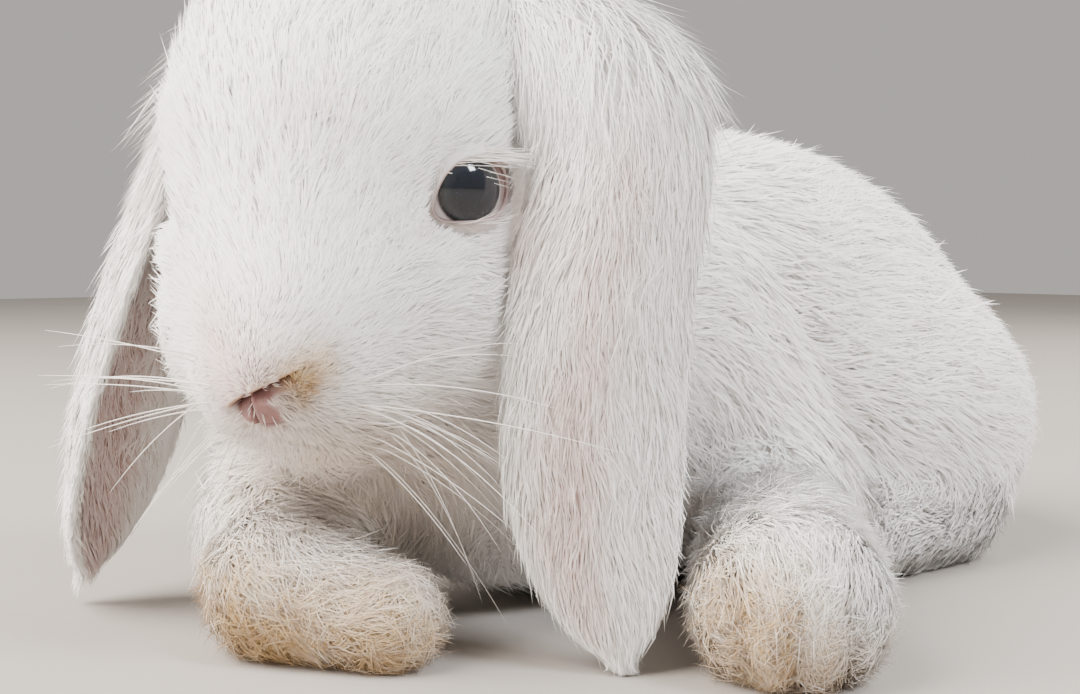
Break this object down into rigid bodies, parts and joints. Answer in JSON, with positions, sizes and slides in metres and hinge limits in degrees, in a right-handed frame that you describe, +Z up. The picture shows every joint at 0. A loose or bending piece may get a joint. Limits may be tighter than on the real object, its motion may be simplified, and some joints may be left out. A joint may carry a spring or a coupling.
{
  "type": "lop rabbit",
  "caption": "Young lop-eared rabbit lying on its chest, head turned to its left and long ears hanging. A still, life-size figure that rests on the floor.",
  "frame": {"origin": "middle of the part's outline on the floor it lies on", "axes": "+X to the rabbit's left, +Y to its tail, +Z up"},
  "size_m": [0.114, 0.183, 0.1039],
  "materials": {
    "coat": "soft white fur",
    "paw_coat": "short white fur, stained yellow",
    "skin": "bare pink skin",
    "eye": "wet and dark",
    "claw": "pale horn"
  },
  "bodies": {
    "root": {"head": "coat", "eye_left": "eye", "eye_right": "eye", "ear_left": "coat", "ear_right": "coat", "neck": "coat", "trunk": "coat", "foreleg_left": "coat", "forepaw_left": "paw_coat", "foreleg_right": "coat", "forepaw_right": "paw_coat", "hind_leg_left": "coat", "hind_foot_left": "coat", "hind_leg_right": "coat", "hind_foot_right": "coat", "tail": "coat"}
  },
  "joints": []
}
